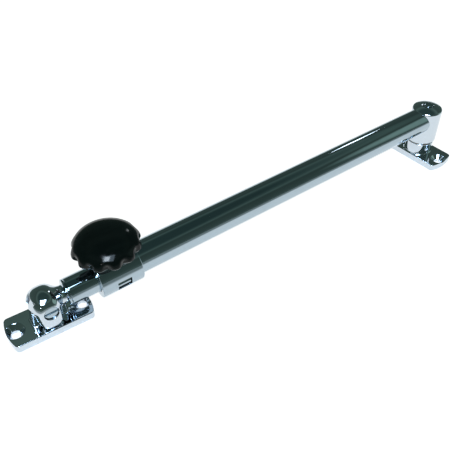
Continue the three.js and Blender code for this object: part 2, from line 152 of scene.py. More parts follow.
class Sheet:
    def __init__(self, tree):
        self.tree = tree
        tree.nodes.clear()

    def add(self, kind, settings=None, sockets=None, out=0):
        node = self.tree.nodes.new(kind)
        for name, value in (settings or {}).items():
            if name == "stops":
                for index, (position, colour) in enumerate(value):
                    stops = node.color_ramp.elements
                    stop = stops[index] if index < 2 else stops.new(position)
                    stop.position, stop.color = position, (*colour, 1)
            else:
                setattr(node, name, value)
        for name, value in (sockets or {}).items():
            socket = node.inputs[name]
            if isinstance(value, Value):
                self.tree.links.new(value.socket, socket)
            else:
                socket.default_value = value
        return Value(self, node.outputs[out]) if node.outputs else None

    def blend(self, amount, *colours):
        first, second = ((*colour, 1) if isinstance(colour, tuple) else colour for colour in colours)
        sockets = {"Factor": amount, 6: first, 7: second}
        return self.add("ShaderNodeMix", {"data_type": "RGBA"}, sockets, out=2)

    def noise(self, where, scale, detail=2.0, rough=0.5):
        sockets = {"Vector": where, "Scale": scale, "Detail": detail, "Roughness": rough}
        return self.add("ShaderNodeTexNoise", {}, sockets)

    def band(self, value, low, high):
        sockets = {"Value": value, "From Min": low, "From Max": high}
        return self.add("ShaderNodeMapRange", {"interpolation_type": "SMOOTHSTEP"}, sockets)

    def streaks(self, where, scale, detail=2.0, rough=0.5):
        turned = self.add("ShaderNodeMapping", {}, {"Vector": where, "Rotation": tubeTurn, "Scale": scale})
        return self.noise(turned, 1.0, detail, rough)


def newFinish(name):
    material = bpy.data.materials.new(name)
    material.use_nodes = True
    sheet = Sheet(material.node_tree)
    return material, sheet, sheet.add("ShaderNodeTexCoord", out="Object")


def finishSurface(sheet, sockets):
    shader = sheet.add("ShaderNodeBsdfPrincipled", {}, sockets)
    sheet.add("ShaderNodeOutputMaterial", {}, {"Surface": shader})


def relief(sheet, height, depth):
    return sheet.add("ShaderNodeBump", {}, {"Height": height, "Strength": 1.0, "Distance": depth})


# Bright chrome over polished metal: faint buffing lines, a few wipe marks and a slight ripple.
chromeLook = {
    "bright": (0.43, 0.52, 0.585), "worn": (0.36, 0.44, 0.5),
    "roughness": 0.035, "wipe": 0.05, "lines": 0.035,
    "ripple": 0.000012, "lineDepth": 0.0000012,
    "wipeScale": 70.0, "wipeBand": (0.5, 0.75), "wipeTint": 0.35,
    "lineScale": (90.0, 2600.0, 2600.0), "lineBand": (0.5, 0.8),
    "speckScale": 2400.0, "speckBand": (0.7, 0.78), "speckTint": 0.3, "rippleScale": 150.0,
}
# Painted light: the cast pieces take a brighter copy of the same chrome. Its colour is raised to match how much
# brighter the cast faces look than the tubes, whose chrome stays darker.
paintedBrightCastingLook = {**chromeLook, "bright": (0.64, 0.71, 0.78), "worn": (0.54, 0.61, 0.68), "ripple": 0.000024}


def makeChrome(given, name):
    material, sheet, where = newFinish(name)
    wipe = sheet.band(sheet.noise(where, given["wipeScale"], detail=3.0), *given["wipeBand"])
    lines = sheet.streaks(where, given["lineScale"], rough=0.6)
    specks = sheet.band(sheet.noise(where, given["speckScale"], detail=1.0), *given["speckBand"])
    wave = sheet.noise(where, given["rippleScale"], detail=1.0)
    worn = wipe * given["wipeTint"] + specks * given["speckTint"]
    dulled = wipe * given["wipe"] + sheet.band(lines, *given["lineBand"]) * given["lines"]
    finishSurface(sheet, {
        "Metallic": 1.0,
        "Base Color": sheet.blend(worn, given["bright"], given["worn"]),
        "Roughness": dulled + given["roughness"],
        "Normal": relief(sheet, wave * given["ripple"] + lines * given["lineDepth"], 1.0),
    })
    return material


# Satin steel of the washers, pins and studs: turning lines and a little oil.
steelLook = {
    "clean": (0.5, 0.51, 0.52), "oiled": (0.34, 0.34, 0.33), "roughness": 0.24, "uneven": 0.2,
    "lineScale": (3000.0, 400.0, 3000.0), "lineDepth": 0.000006, "oilScale": 260.0, "oilBand": (0.4, 0.7),
}


def makeSteel(given):
    material, sheet, where = newFinish("satinSteel")
    lines = sheet.streaks(where, given["lineScale"], detail=3.0)
    oil = sheet.band(sheet.noise(where, given["oilScale"], detail=3.0), *given["oilBand"])
    finishSurface(sheet, {
        "Metallic": 1.0,
        "Base Color": sheet.blend(oil, given["clean"], given["oiled"]),
        "Roughness": lines * given["uneven"] + given["roughness"],
        "Normal": relief(sheet, lines, given["lineDepth"]),
    })
    return material


# Turned brass of the bushes, the shoe and the knob's insert.
brassLook = {
    "bright": (0.72, 0.52, 0.22), "dull": (0.42, 0.29, 0.12), "roughness": 0.22, "uneven": 0.22,
    "lineScale": (500.0, 500.0, 5200.0), "lineDepth": 0.000008, "lines": 0.1,
    "stainScale": 320.0, "stainBand": (0.42, 0.72),
}


def makeBrass(given):
    material, sheet, where = newFinish("turnedBrass")
    lines = sheet.streaks(where, given["lineScale"])
    stain = sheet.band(sheet.noise(where, given["stainScale"], detail=4.0), *given["stainBand"])
    finishSurface(sheet, {
        "Metallic": 1.0,
        "Base Color": sheet.blend(stain, given["bright"], given["dull"]),
        "Roughness": stain * given["uneven"] + lines * given["lines"] + given["roughness"],
        "Normal": relief(sheet, lines, given["lineDepth"]),
    })
    return material


# Natural nylon of the guide, the wiper ring and the thrust washer.
nylonLook = {
    "clean": (0.74, 0.72, 0.64), "shaded": (0.52, 0.5, 0.43), "roughness": 0.42, "uneven": 0.2,
    "cloudScale": 380.0, "cloudBand": (0.35, 0.7), "grainScale": 4200.0, "grainDepth": 0.00001,
}


def makeNylon(given):
    material, sheet, where = newFinish("naturalNylon")
    cloud = sheet.band(sheet.noise(where, given["cloudScale"], detail=4.0), *given["cloudBand"])
    grain = sheet.noise(where, given["grainScale"])
    finishSurface(sheet, {
        "Base Color": sheet.blend(cloud, given["clean"], given["shaded"]),
        "Roughness": grain * given["uneven"] + given["roughness"],
        "Subsurface Weight": 0.1,
        "Subsurface Scale": 0.001,
        "Normal": relief(sheet, grain, given["grainDepth"]),
    })
    return material


# The knob's black moulding: glossy, with flow marks, fine dust and rubbed lobes.
knobLook = {
    "deep": (0.0065, 0.0125, 0.0125), "flow": (0.009, 0.0165, 0.0165), "dust": (0.03, 0.036, 0.036),
    "roughness": 0.1, "rubbed": 0.12, "specular": 0.2,
    "flowScale": (60.0, 180.0, 420.0), "flowBand": (0.4, 0.65),
    "dustScale": 3000.0, "dustBand": (0.72, 0.8), "dustTint": 0.4, "dustRough": 0.15,
    "rubScale": 240.0, "rubBand": (0.48, 0.72), "rubRelief": 0.5, "peelScale": 900.0, "peelDepth": 0.000008,
}


def makeKnobBlack(given):
    material, sheet, where = newFinish("blackMoulding")
    flow = sheet.streaks(where, given["flowScale"], detail=3.0)
    dust = sheet.band(sheet.noise(where, given["dustScale"]), *given["dustBand"])
    rub = sheet.band(sheet.noise(where, given["rubScale"], detail=4.0, rough=0.6), *given["rubBand"])
    peel = sheet.noise(where, given["peelScale"], detail=1.0)
    body = sheet.blend(sheet.band(flow, *given["flowBand"]), given["deep"], given["flow"])
    finishSurface(sheet, {
        "Base Color": sheet.blend(dust * given["dustTint"], body, given["dust"]),
        "Roughness": rub * given["rubbed"] + dust * given["dustRough"] + given["roughness"],
        "Specular IOR Level": given["specular"],
        "Normal": relief(sheet, peel + rub * given["rubRelief"], given["peelDepth"]),
    })
    return material


chrome = makeChrome(chromeLook, "polishedChrome")
# The cast pieces' brighter copy of the chrome is painted light.
paintedBrightCastChrome = makeChrome(paintedBrightCastingLook, "platedCastingPaintedBright")
steel = makeSteel(steelLook)
brass = makeBrass(brassLook)
nylon = makeNylon(nylonLook)
knobBlack = makeKnobBlack(knobLook)
finishOf = {"plain_steel": steel, "brass_bush": brass, "white_nylon": nylon}
print("finishes made")

# Turned pieces: a Geometry Nodes tree spins a profile, and can flute it or cut a thread in it.


def turnedTree():
    tree = bpy.data.node_groups.new("turned piece", "GeometryNodeTree")
    sockets = {}
    for name, kind in (
        ("Profile", "Geometry"), ("Sides", "Int"), ("Lobes", "Int"), ("Lobe depth", "Float"),
        ("Lobe turn", "Float"), ("Lobe inside", "Float"), ("Lobe outside", "Float"),
        ("Lobe fade from", "Float"), ("Lobe fade to", "Float"), ("Lobe sharpness", "Float"),
        ("Thread pitch", "Float"), ("Thread depth", "Float"), ("Thread from", "Float"),
        ("Thread to", "Float"), ("Finish", "Material"),
    ):
        sockets[name] = tree.interface.new_socket(name, in_out="INPUT", socket_type="NodeSocket" + kind)
    tree.interface.new_socket("Piece", in_out="OUTPUT", socket_type="NodeSocketGeometry")
    sheet = Sheet(tree)
    given = sheet.add("NodeGroupInput")
    profile = given.out("Profile")
    rows = sheet.add("GeometryNodeAttributeDomainSize", {"component": "MESH"}, {"Geometry": profile})
    grid = sheet.add("GeometryNodeMeshGrid", {}, {
        "Size X": 1.0, "Size Y": 1.0, "Vertices X": given.out("Sides") + 1, "Vertices Y": rows,
    })
    place = sheet.add("GeometryNodeInputPosition")
    across = sheet.add("ShaderNodeSeparateXYZ", {}, {0: place})
    turn = (across + 0.5) * (2 * math.pi)
    row = (across.out("Y") + 0.5) * (rows - 1)
    point = sheet.add("GeometryNodeSampleIndex", {"data_type": "FLOAT_VECTOR", "domain": "POINT"}, {
        "Geometry": profile, "Value": place, "Index": row.math("ROUND"),
    })
    radius = sheet.add("ShaderNodeSeparateXYZ", {}, {0: point})
    height = radius.out("Z")
    swing = ((turn - given.out("Lobe turn")) * given.out("Lobes")).math("COSINE") * 0.5 + 0.5
    outer = sheet.band(radius, given.out("Lobe inside"), given.out("Lobe outside"))
    fade = sheet.band(height, given.out("Lobe fade from"), given.out("Lobe fade to"))
    flute = (swing ** given.out("Lobe sharpness")) * outer * (1 - fade) * given.out("Lobe depth")
    along = height / given.out("Thread pitch") - turn / (2 * math.pi)
    tooth = (along.math("FRACT") - 0.5).math("ABSOLUTE") * 2
    started = height.math("GREATER_THAN", given.out("Thread from"))
    unfinished = height.math("LESS_THAN", given.out("Thread to"))
    cut = tooth * (started * unfinished) * given.out("Thread depth")
    final = radius - flute - cut
    spun = sheet.add("ShaderNodeCombineXYZ", {}, {
        "X": final * turn.math("COSINE"), "Y": final * turn.math("SINE"), "Z": height,
    })
    moved = sheet.add("GeometryNodeSetPosition", {}, {"Geometry": grid, "Position": spun})
    joined = sheet.add("GeometryNodeMergeByDistance", {}, {"Geometry": moved, "Distance": tiny})
    soft = sheet.add("GeometryNodeSetShadeSmooth", {}, {"Geometry": joined})
    real = sheet.add("GeometryNodeRealizeInstances", {}, {"Geometry": soft})
    coated = sheet.add("GeometryNodeSetMaterial", {}, {"Geometry": real, "Material": given.out("Finish")})
    sheet.add("NodeGroupOutput", {}, {"Piece": coated})
    return tree, {name: socket.identifier for name, socket in sockets.items()}


spinTree, spinInput = turnedTree()
plainSpin = {
    "Lobes": 1, "Lobe depth": 0.0, "Lobe turn": 0.0, "Lobe inside": 0.0, "Lobe outside": 1.0,
    "Lobe fade from": 0.0, "Lobe fade to": 1.0, "Lobe sharpness": 1.0,
    "Thread pitch": 1.0, "Thread depth": 0.0, "Thread from": 0.0, "Thread to": 1.0,
}


def roundedProfile(corners, steps=5):
    # A corner is (radius, height, round) or a plain (radius, height): the rounds become arcs.
    points = []
    for index, corner in enumerate(corners):
        here = np.array(corner[:2], float)
        if len(corner) == 2:
            points.append(here)
            continue
        before = np.array(corners[index - 1][:2]) - here
        after = np.array(corners[index + 1][:2]) - here
        before, after = before / np.linalg.norm(before), after / np.linalg.norm(after)
        half = math.acos(np.clip(before @ after, -1, 1)) / 2
        middle = (before + after) / np.linalg.norm(before + after)
        centre = here + middle * corner[2] / math.sin(half)
        start = here + before * corner[2] / math.tan(half) - centre
        end = here + after * corner[2] / math.tan(half) - centre
        sweep = math.pi - 2 * half
        for step in range(steps + 1):
            share = step / steps
            points.append(centre + (math.sin((1 - share) * sweep) * start + math.sin(share * sweep) * end)
                          / math.sin(sweep))
    return points


def linked(name, mesh):
    piece = bpy.data.objects.new(name, mesh)
    bpy.context.scene.collection.objects.link(piece)
    return piece


# Turns the evaluated object into a plain mesh and drops its modifiers.
def applied(piece):
    graph = bpy.context.evaluated_depsgraph_get()
    mesh = bpy.data.meshes.new_from_object(piece.evaluated_get(graph), depsgraph=graph)
    piece.modifiers.clear()
    piece.data = mesh
    return piece


def spin(name, corners, finish, sides=128, rule=None):
    mesh = bpy.data.meshes.new(name)
    mesh.from_pydata([(radius * mm, 0, height * mm) for radius, height in roundedProfile(corners)], [], [])
    piece = linked(name, mesh)
    modifier = piece.modifiers.new("Turned", "NODES")
    modifier.node_group = spinTree
    for key, value in {**plainSpin, **(rule or {}), "Sides": sides, "Finish": finish}.items():
        modifier[spinInput[key]] = value
    applied(piece)
    work = bmesh.new()
    work.from_mesh(piece.data)
    bmesh.ops.dissolve_degenerate(work, edges=work.edges, dist=tiny)
    bmesh.ops.recalc_face_normals(work, faces=work.faces)
    work.to_mesh(piece.data)
    work.free()
    return piece


def bored(piece, cutter):
    modifier = piece.modifiers.new("Cut", "BOOLEAN")
    modifier.operation = "DIFFERENCE"
    modifier.solver = "EXACT"
    modifier.object = cutter
    applied(piece)
    bpy.data.objects.remove(cutter)
    return piece


cornerAngle = 38    # degrees: a sharper edge than this stays a real corner


# Long faces keep their true direction and only real corners stay sharp.
def settle(piece, place):
    piece.data.set_sharp_from_angle(angle=math.radians(cornerAngle))
    weighted = piece.modifiers.new("Weighted", "WEIGHTED_NORMAL")
    weighted.keep_sharp = True
    weighted.weight = 100
    applied(piece)
    piece.data.transform(place)
    return piece


def handIn(piece, node):
    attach(piece, bodyOf[node])
    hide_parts(node)
    return piece


# Cast and milled pieces: a rule gives the distance to the surface, and a fine skin is laid on it.
skinRule = {"before": 2.37, "after": 2.5, "passes": 4, "nudge": 0.004, "leastSlope": 0.25}


def roundBoth(first, second, radius):
    inner = np.minimum(-radius, np.maximum(first, second))
    return inner + np.hypot(np.maximum(first + radius, 0), np.maximum(second + radius, 0))


def roundEither(first, second, radius):
    return -roundBoth(-first, -second, radius)


def without(body, tool, radius):
    return roundBoth(body, -tool, radius)


def skinPoints(distance, low, high, step):
    before, after = skinRule["before"] * step, skinRule["after"] * step
    axes = [np.arange(low[axis] - before, high[axis] + after, step) for axis in range(3)]
    field = distance(*np.meshgrid(*axes, indexing="ij", sparse=True))
    inside = field < 0
    cells = tuple(size - 1 for size in field.shape)
    total = np.zeros((*cells, 3))
    count = np.zeros(cells)

    def corner(offset):
        return tuple(slice(o, o + size) for o, size in zip(offset, cells))

    for axis in range(3):
        others = [(axis + 1) % 3, (axis + 2) % 3]
        for pair in range(4):
            offset = [0, 0, 0]
            offset[others[0]], offset[others[1]] = pair % 2, pair // 2
            start = field[corner(offset)]
            near = inside[corner(offset)]
            offset[axis] = 1
            end = field[corner(offset)]
            cross = near != inside[corner(offset)]
            total[..., axis] += np.where(cross, start / np.where(cross, start - end, 1), 0)
            total[..., others[0]] += cross * (pair % 2)
            total[..., others[1]] += cross * (pair // 2)
            count += cross
    used = np.argwhere(count > 0)
    number = np.full(cells, -1)
    number[tuple(used.T)] = np.arange(len(used))
    origin = np.array([axis[0] for axis in axes])
    points = origin + (used + total[tuple(used.T)] / count[tuple(used.T)][:, None]) * step

    quads = []
    for axis in range(3):
        b, c = np.eye(3, dtype=int)[(axis + 1) % 3], np.eye(3, dtype=int)[(axis + 2) % 3]
        first = np.take(inside, range(inside.shape[axis] - 1), axis)
        second = np.take(inside, range(1, inside.shape[axis]), axis)
        edges = np.argwhere(first != second)
        ring = [number[tuple((edges - shift).T)] for shift in (b + c, c, b * 0, b)]
        quad = np.stack(ring, axis=1)
        outward = first[tuple(edges.T)]
        quad[~outward] = quad[~outward][:, ::-1]
        quads.append(quad)
    return points, np.concatenate(quads)


def castPiece(name, distance, low, high, step, finish, place):
    points, quads = skinPoints(distance, low, high, step)
    nudge = skinRule["nudge"]

    def slope():
        return np.stack([
            (distance(*(points + nudge * way).T) - distance(*(points - nudge * way).T)) / (2 * nudge)
            for way in np.eye(3)
        ], axis=1)

    for _ in range(skinRule["passes"]):
        rise = slope()
        length = np.maximum((rise ** 2).sum(1), skinRule["leastSlope"])
        move = rise * (distance(*points.T) / length)[:, None]
        points -= np.clip(move, -step, step)
    normals = slope()
    normals /= np.maximum(np.linalg.norm(normals, axis=1), tiny)[:, None]
    turn = np.array(place.to_3x3())
    mesh = bpy.data.meshes.new(name)
    mesh.from_pydata((points * mm) @ turn.T + np.array(place.translation), [], quads.tolist())
    mesh.shade_smooth()
    mesh.normals_split_custom_set_from_vertices(normals @ turn.T)
    mesh.materials.append(finish)
    return linked(name, mesh)


# Bases: a flat plate with bowed ends and two countersunk holes, then a lug or a round boss.
baseSizes = {
    "thickness": 4.2, "sagitta": 1.7, "corner": 1.4, "edge": 0.4, "underEdge": 0.15,
    "spacing": 32.4, "hole": 2.2, "countersink": 4.6, "countersinkDepth": 2.4, "holeEdge": 0.15,
    "sunk": 1, "boreEdge": 0.2, "step": 0.22,
}
lugSizes = {
    "halfWidth": 2.6, "halfLength": 7.7, "footLength": 8.2, "flankHeight": 5.2,
    "headFrom": -2.5, "headRise": 8.6, "edge": 0.5, "fillet": 1.0, "bore": 3.8,
}
bossSizes = {"radius": 8.4, "edge": 0.45, "foot": 0.7, "bore": 2.7, "nutRoom": 4.5, "nutDepth": 3.1}


def basePlate(x, y, z, length, width):
    given = baseSizes
    bow = (width ** 2 / 4 + given["sagitta"] ** 2) / (2 * given["sagitta"])
    ends = np.hypot(np.abs(x) + bow - length / 2, y) - bow
    outline = roundBoth(ends, np.abs(y) - width / 2, given["corner"])
    plate = roundBoth(outline, z - given["thickness"], given["edge"])
    plate = roundBoth(plate, -z, given["underEdge"])
    slope = (given["countersink"] - given["hole"]) / given["countersinkDepth"]
    away = np.hypot(np.abs(x) - given["spacing"] / 2, y)
    cone = away - given["countersink"] - (z - given["thickness"]) * slope
    hole = np.minimum(away - given["hole"], cone / math.hypot(1, slope))
    return without(plate, hole, given["holeEdge"])


def makeLeftBase():
    low, high = extent("left_base", leftPlace)
    pinHeight = stayPlace.translation.z / mm
    given = lugSizes

    def distance(x, y, z):
        plate = basePlate(x, y, z, high[0] - low[0], high[1] - low[1])
        rise = z - pinHeight - given["headFrom"]
        widening = np.clip(-rise / given["flankHeight"], 0, 1)
        half = given["halfLength"] + (given["footLength"] - given["halfLength"]) * widening
        outline = (np.hypot(x / half, np.maximum(rise, 0) / given["headRise"]) - 1) * half
        lug = roundBoth(outline, np.abs(y) - given["halfWidth"], given["edge"])
        lug = np.maximum(lug, baseSizes["sunk"] - z)
        body = roundEither(plate, lug, given["fillet"])
        return without(body, np.hypot(x, z - pinHeight) - given["bore"], baseSizes["boreEdge"])

    return castPiece("leftBase", distance, low, high, baseSizes["step"], paintedBrightCastChrome, leftPlace)


def makeRightBase():
    low, high = extent("right_base", rightPlace)
    given = bossSizes

    def distance(x, y, z):
        plate = basePlate(y, x, z - low[2], high[1] - low[1], high[0] - low[0])
        across = np.hypot(x, y)
        boss = roundBoth(across - given["radius"], z - high[2], given["edge"])
        boss = np.maximum(boss, low[2] + baseSizes["sunk"] - z)
        body = roundEither(plate, boss, given["foot"])
        body = without(body, across - given["bore"], baseSizes["boreEdge"])
        nut = np.maximum(across - given["nutRoom"], z - low[2] - given["nutDepth"])
        return without(body, nut, baseSizes["boreEdge"])

    return castPiece("rightBase", distance, low, high, baseSizes["step"], paintedBrightCastChrome, rightPlace)


handIn(makeLeftBase(), "left_base")
handIn(makeRightBase(), "right_base")
print("bases made")

# Fork: a soft oval dome over two round-bottomed cheeks, slotted for the lug, with a turned neck.
forkSizes = {
    "lean": -0.6, "halfLength": 7.3, "halfDepth": 8.6, "squareness": 2.5, "domeFrom": 1.1,
    "cheek": 8.4, "cheekRadius": 6.0, "leftFlare": 1.3, "rightFlare": 0.6, "cheekEdge": 0.9,
    "neckRoot": 6.0, "rootAt": 3.0, "neck": 4.6, "neckFrom": 8.0, "neckEnd": 9.2, "neckFillet": 1.2,
    "stub": 2.8, "stubEnd": 14.0, "tip": 1.8, "pinHole": 2.8, "headRoom": 3.6, "headFloor": 5.2,
    "opening": 8, "domeEdge": 0.4, "neckEdge": 0.4, "tipEdge": 0.3, "holeEdge": 0.2, "step": 0.2,
}
# The slot for the lug: a round roof between two angles, a ramp to the left and a stepped right wall.
slotSizes = {
    "halfWidth": 3.6, "roof": 6.8, "roofEnd": 98, "roofStart": 40,
    "shoulder": (6.8, 2.6), "right": (8.1, 0.0), "heel": (8.8, -5.0), "edge": 0.35,
}


def beyondLine(u, w, start, end):
    du, dw = end[0] - start[0], end[1] - start[1]
    return ((w - start[1]) * du - (u - start[0]) * dw) / math.hypot(du, dw)


def lugRoom(u, w):
    given = slotSizes
    end, start = math.radians(given["roofEnd"]), math.radians(given["roofStart"])
    beyondRoof = u * math.cos(end) + w * math.sin(end) - given["roof"]
    ramp = np.maximum(beyondRoof, u * math.sin(end) - w * math.cos(end))
    roofStart = (given["roof"] * math.cos(start), given["roof"] * math.sin(start))
    corners = [roofStart, given["shoulder"], given["right"], given["heel"]]
    wall = np.maximum(w * math.cos(start) - u * math.sin(start), u - given["heel"][0])
    for first, second in zip(corners, corners[1:]):
        wall = np.maximum(wall, beyondLine(u, w, first, second))
    return np.minimum(np.minimum(np.hypot(u, w) - given["roof"], ramp), wall)


def makeFork():
    low, high = extent("fork_knuckle", stayPlace)
    given = forkSizes
    domeHeight = high[2] - given["domeFrom"]
    cheekCentre = low[2] + given["cheekRadius"]

    def distance(u, v, w):
        side = u - given["lean"]
        power = given["squareness"]
        oval = np.abs(side / given["halfLength"]) ** power + np.abs(v / given["halfDepth"]) ** power
        oval = (oval + tiny) ** (1 / power)
        rise = np.maximum(w - given["domeFrom"], 0) / domeHeight
        dome = (np.hypot(oval, rise) - 1) * given["halfLength"]
        above = np.clip((w - cheekCentre) / (given["domeFrom"] - cheekCentre), 0, 2)
        flare = np.where(side < 0, given["leftFlare"] * above ** 3, given["rightFlare"] * above)
        half = given["cheekRadius"] + flare + given["opening"] * np.maximum(above - 1, 0)
        cheeks = np.hypot(side, np.minimum(w - cheekCentre, 0)) - half
        body = roundBoth(dome, cheeks, given["domeEdge"])
        body = roundBoth(body, np.abs(v) - given["cheek"], given["cheekEdge"])
        away = np.hypot(v, w)
        taper = np.clip((given["neckFrom"] - u) / (given["neckFrom"] - given["rootAt"]), 0, 1)
        radius = given["neck"] + (given["neckRoot"] - given["neck"]) * taper
        neck = roundBoth(away - radius, u - given["neckEnd"], given["neckEdge"])
        neck = np.maximum(neck, given["rootAt"] - u)
        body = roundEither(body, neck, given["neckFillet"])
        stub = np.maximum(np.maximum(away - given["stub"], u - given["stubEnd"]), given["rootAt"] - u)
        tip = roundBoth(away - given["tip"], u - high[0], given["tipEdge"])
        body = np.minimum(body, np.minimum(stub, np.maximum(tip, given["rootAt"] - u)))
        slot = np.maximum(lugRoom(u, w), np.abs(v) - slotSizes["halfWidth"])
        body = without(body, slot, slotSizes["edge"])
        hole = np.hypot(u, w)
        head = np.maximum(hole - given["headRoom"], given["headFloor"] - np.abs(v))
        return without(body, np.minimum(hole - given["pinHole"], head), given["holeEdge"])

    return castPiece("forkKnuckle", distance, low, high, given["step"], paintedBrightCastChrome, stayPlace)


handIn(makeFork(), "fork_knuckle")

# Pivot screw with a slotted cheese head, and the slotted ring nut at its far end.
pivotSizes = {
    "head": 3.3, "headDeep": 1.9, "shank": 2.5, "shankEnd": 5.2, "tip": 1.9, "slot": 0.55, "slotDeep": 0.9,
    "sunk": 1, "headEdge": 0.35, "tipEdge": 0.3, "slotEdge": 0.16, "step": 0.13,
}
nutSizes = {"slotDeep": 0.7, "edge": 0.3, "threadDeep": 0.3, "boreEdge": 0.15, "slotEdge": 0.12, "step": 0.12}


def makePivotScrew():
    low, high = extent("pivot_screw", stayPlace)
    given = pivotSizes

    def distance(u, v, w):
        away = np.hypot(u, w)
        ends = np.maximum(low[1] - v, v - low[1] - given["headDeep"])
        head = roundBoth(away - given["head"], ends, given["headEdge"])
        root = low[1] + given["sunk"] - v
        shank = np.maximum(away - given["shank"], np.maximum(root, v - given["shankEnd"]))
        tip = roundBoth(away - given["tip"], np.maximum(root, v - high[1]), given["tipEdge"])
        body = np.minimum(head, np.minimum(shank, tip))
        slot = np.maximum(np.abs(w) - given["slot"], v - low[1] - given["slotDeep"])
        return without(body, slot, given["slotEdge"])

    return castPiece("pivotScrew", distance, low, high, given["step"], chrome, stayPlace)


def makePivotNut():
    low, high = extent("pivot_nut", stayPlace)
    given = nutSizes

    def distance(u, v, w):
        away = np.hypot(u, w)
        ring = roundBoth(away - pivotSizes["head"], np.maximum(low[1] - v, v - high[1]), given["edge"])
        ring = without(ring, away - pivotSizes["tip"] - given["threadDeep"], given["boreEdge"])
        slot = np.maximum(np.abs(w) - pivotSizes["slot"], high[1] - given["slotDeep"] - v)
        return without(ring, slot, given["slotEdge"])

    return castPiece("pivotNut", distance, low, high, given["step"], chrome, stayPlace)


handIn(makePivotScrew(), "pivot_screw")
handIn(makePivotNut(), "pivot_nut")
print("fork made")

# Clamp sleeve with its threaded boss and front window, and the key that fills the window.
sleeveSizes = {
    "bore": 8.3, "lip": 1.2, "mouth": 7.0, "edge": 0.5, "boreEdge": 0.25,
    "boss": 5.2, "bossEdge": 0.35, "fillet": 0.9, "studHole": 3.3, "studHoleFrom": 4, "holeEdge": 0.2,
    "windowLow": -5.3, "windowHigh": 0.7, "windowBack": -4.0, "windowCorner": 0.4, "windowEdge": 0.12,
    "step": 0.21,
}
keySizes = {
    "gap": 0.3, "inside": 7.5, "outside": 9.3, "chamferFrom": -2.2, "chamfer": 28, "edge": 0.1, "step": 0.12,
}


def makeSleeve():
    low, high = extent("clamp_sleeve", stayPlace)
    keyLow, keyHigh = extent("sleeve_key", stayPlace)
    given = sleeveSizes
    radius = high[1]

    def window(u, v, w, gap):
        middle = (keyLow[0] + keyHigh[0]) / 2
        half = (keyHigh[0] - keyLow[0]) / 2 + keySizes["gap"] - gap
        tall = (given["windowHigh"] - given["windowLow"]) / 2 - gap
        centre = (given["windowHigh"] + given["windowLow"]) / 2
        outline = roundBoth(np.abs(u - middle) - half, np.abs(w - centre) - tall, given["windowCorner"])
        return np.maximum(outline, v - given["windowBack"])

    def sleeve(u, v, w):
        away = np.hypot(v, w)
        body = roundBoth(away - radius, np.maximum(low[0] - u, u - high[0]), given["edge"])
        across = np.hypot(u - knobAt, v)
        boss = np.maximum(roundBoth(across - given["boss"], w - high[2], given["bossEdge"]), -w)
        body = roundEither(body, boss, given["fillet"])
        bore = np.minimum(np.maximum(away - given["bore"], low[0] + given["lip"] - u), away - given["mouth"])
        body = without(body, bore, given["boreEdge"])
        stud = np.maximum(across - given["studHole"], given["studHoleFrom"] - w)
        body = without(body, stud, given["holeEdge"])
        return without(body, window(u, v, w, 0), given["windowEdge"])

    def key(u, v, w):
        away = np.hypot(v, w)
        shell = np.maximum(away - keySizes["outside"], keySizes["inside"] - away)
        turn = math.radians(keySizes["chamfer"])
        edge = math.sqrt(keySizes["outside"] ** 2 - keySizes["chamferFrom"] ** 2)
        tilted = -(v + edge) * math.cos(turn) + (w - keySizes["chamferFrom"]) * math.sin(turn)
        return roundBoth(np.maximum(shell, tilted), window(u, v, w, keySizes["gap"]), keySizes["edge"])

    return (
        castPiece("clampSleeve", sleeve, low, high, given["step"], chrome, stayPlace),
        castPiece("sleeveKey", key, keyLow, keyHigh, keySizes["step"], chrome, stayPlace),
    )


sleevePiece, keyPiece = makeSleeve()
handIn(sleevePiece, "clamp_sleeve")
handIn(keyPiece, "sleeve_key")
print("sleeve made")

# Barrel: a plain cylinder with a shallow crowned top, a bore for its bushes and a spigot for the tube.
barrelSizes = {
    "crown": 2.4, "shoulder": 0.6, "bottomEdge": 0.35, "spigot": 6.9, "bore": 4.5, "boreTop": 6.4,
    "pinHole": 2.7, "headRoom": 3.3, "headDepth": 1.2, "lockAt": -20.0, "lockHole": 1.5, "lockTop": -3,
    "spigotEdge": 0.5, "boreEdge": 0.2, "lockEdge": 0.15, "step": 0.22,
}


def makeBarrel():
    low, high = extent("barrel", barrelPlace)
    given = barrelSizes
    radius = high[1]
    crown = (radius ** 2 + given["crown"] ** 2) / (2 * given["crown"])

    def distance(u, v, w):
        across = np.hypot(u, v)
        top = np.hypot(across, w - high[2] + crown) - crown
        body = roundBoth(across - radius, np.where(w > 0, top, -1), given["shoulder"])
        body = roundBoth(body, low[2] - w, given["bottomEdge"])
        away = np.hypot(v, w)
        spigot = np.maximum(roundBoth(away - given["spigot"], low[0] - u, given["spigotEdge"]), u)
        body = np.minimum(body, spigot)
        bushRoom = np.maximum(across - given["bore"], w - given["boreTop"])
        pinRoom = np.maximum(across - given["pinHole"], -w)
        headRoom = np.maximum(across - given["headRoom"], high[2] - given["headDepth"] - w)
        bore = np.minimum(np.minimum(bushRoom, pinRoom), headRoom)
        body = without(body, bore, given["boreEdge"])
        lock = np.maximum(np.hypot(u - given["lockAt"], v) - given["lockHole"], w - given["lockTop"])
        return without(body, lock, given["lockEdge"])

    return castPiece("barrel", distance, low, high, given["step"], paintedBrightCastChrome, barrelPlace)


handIn(makeBarrel(), "barrel")
print("barrel made")

# Tubes: turned shells with eased ends. The outer tube's right end is shaped to the barrel.
tubeSizes = {
    "outerBore": 7.2, "innerBore": 5.4, "saddle": 9.4, "saddleZone": 1, "ease": 0.18,
    "sides": 160, "innerSides": 144, "drillSides": 48,
    "lockHole": 1.5, "lockDepth": (-10, -4), "innerLockDepth": (-8, -4),
    "shoeHole": 2.9, "shoeDepth": (2, 12), "windowDepth": (-14, -4),
}
# Rings of points beside the holes and along the tube keep its long faces true.
tubeRows = {"knob": 5, "left": 20, "right": (40, 26, 14), "lock": 3}


def ringProfile(bore, radius, low, high, ease, extra=()):
    middle = (low + high) / 2
    outside = [(radius, place) for place in extra]
    return [(bore, middle), (bore, low, ease), (radius, low, ease), *outside,
            (radius, high, ease), (bore, high, ease), (bore, middle)]


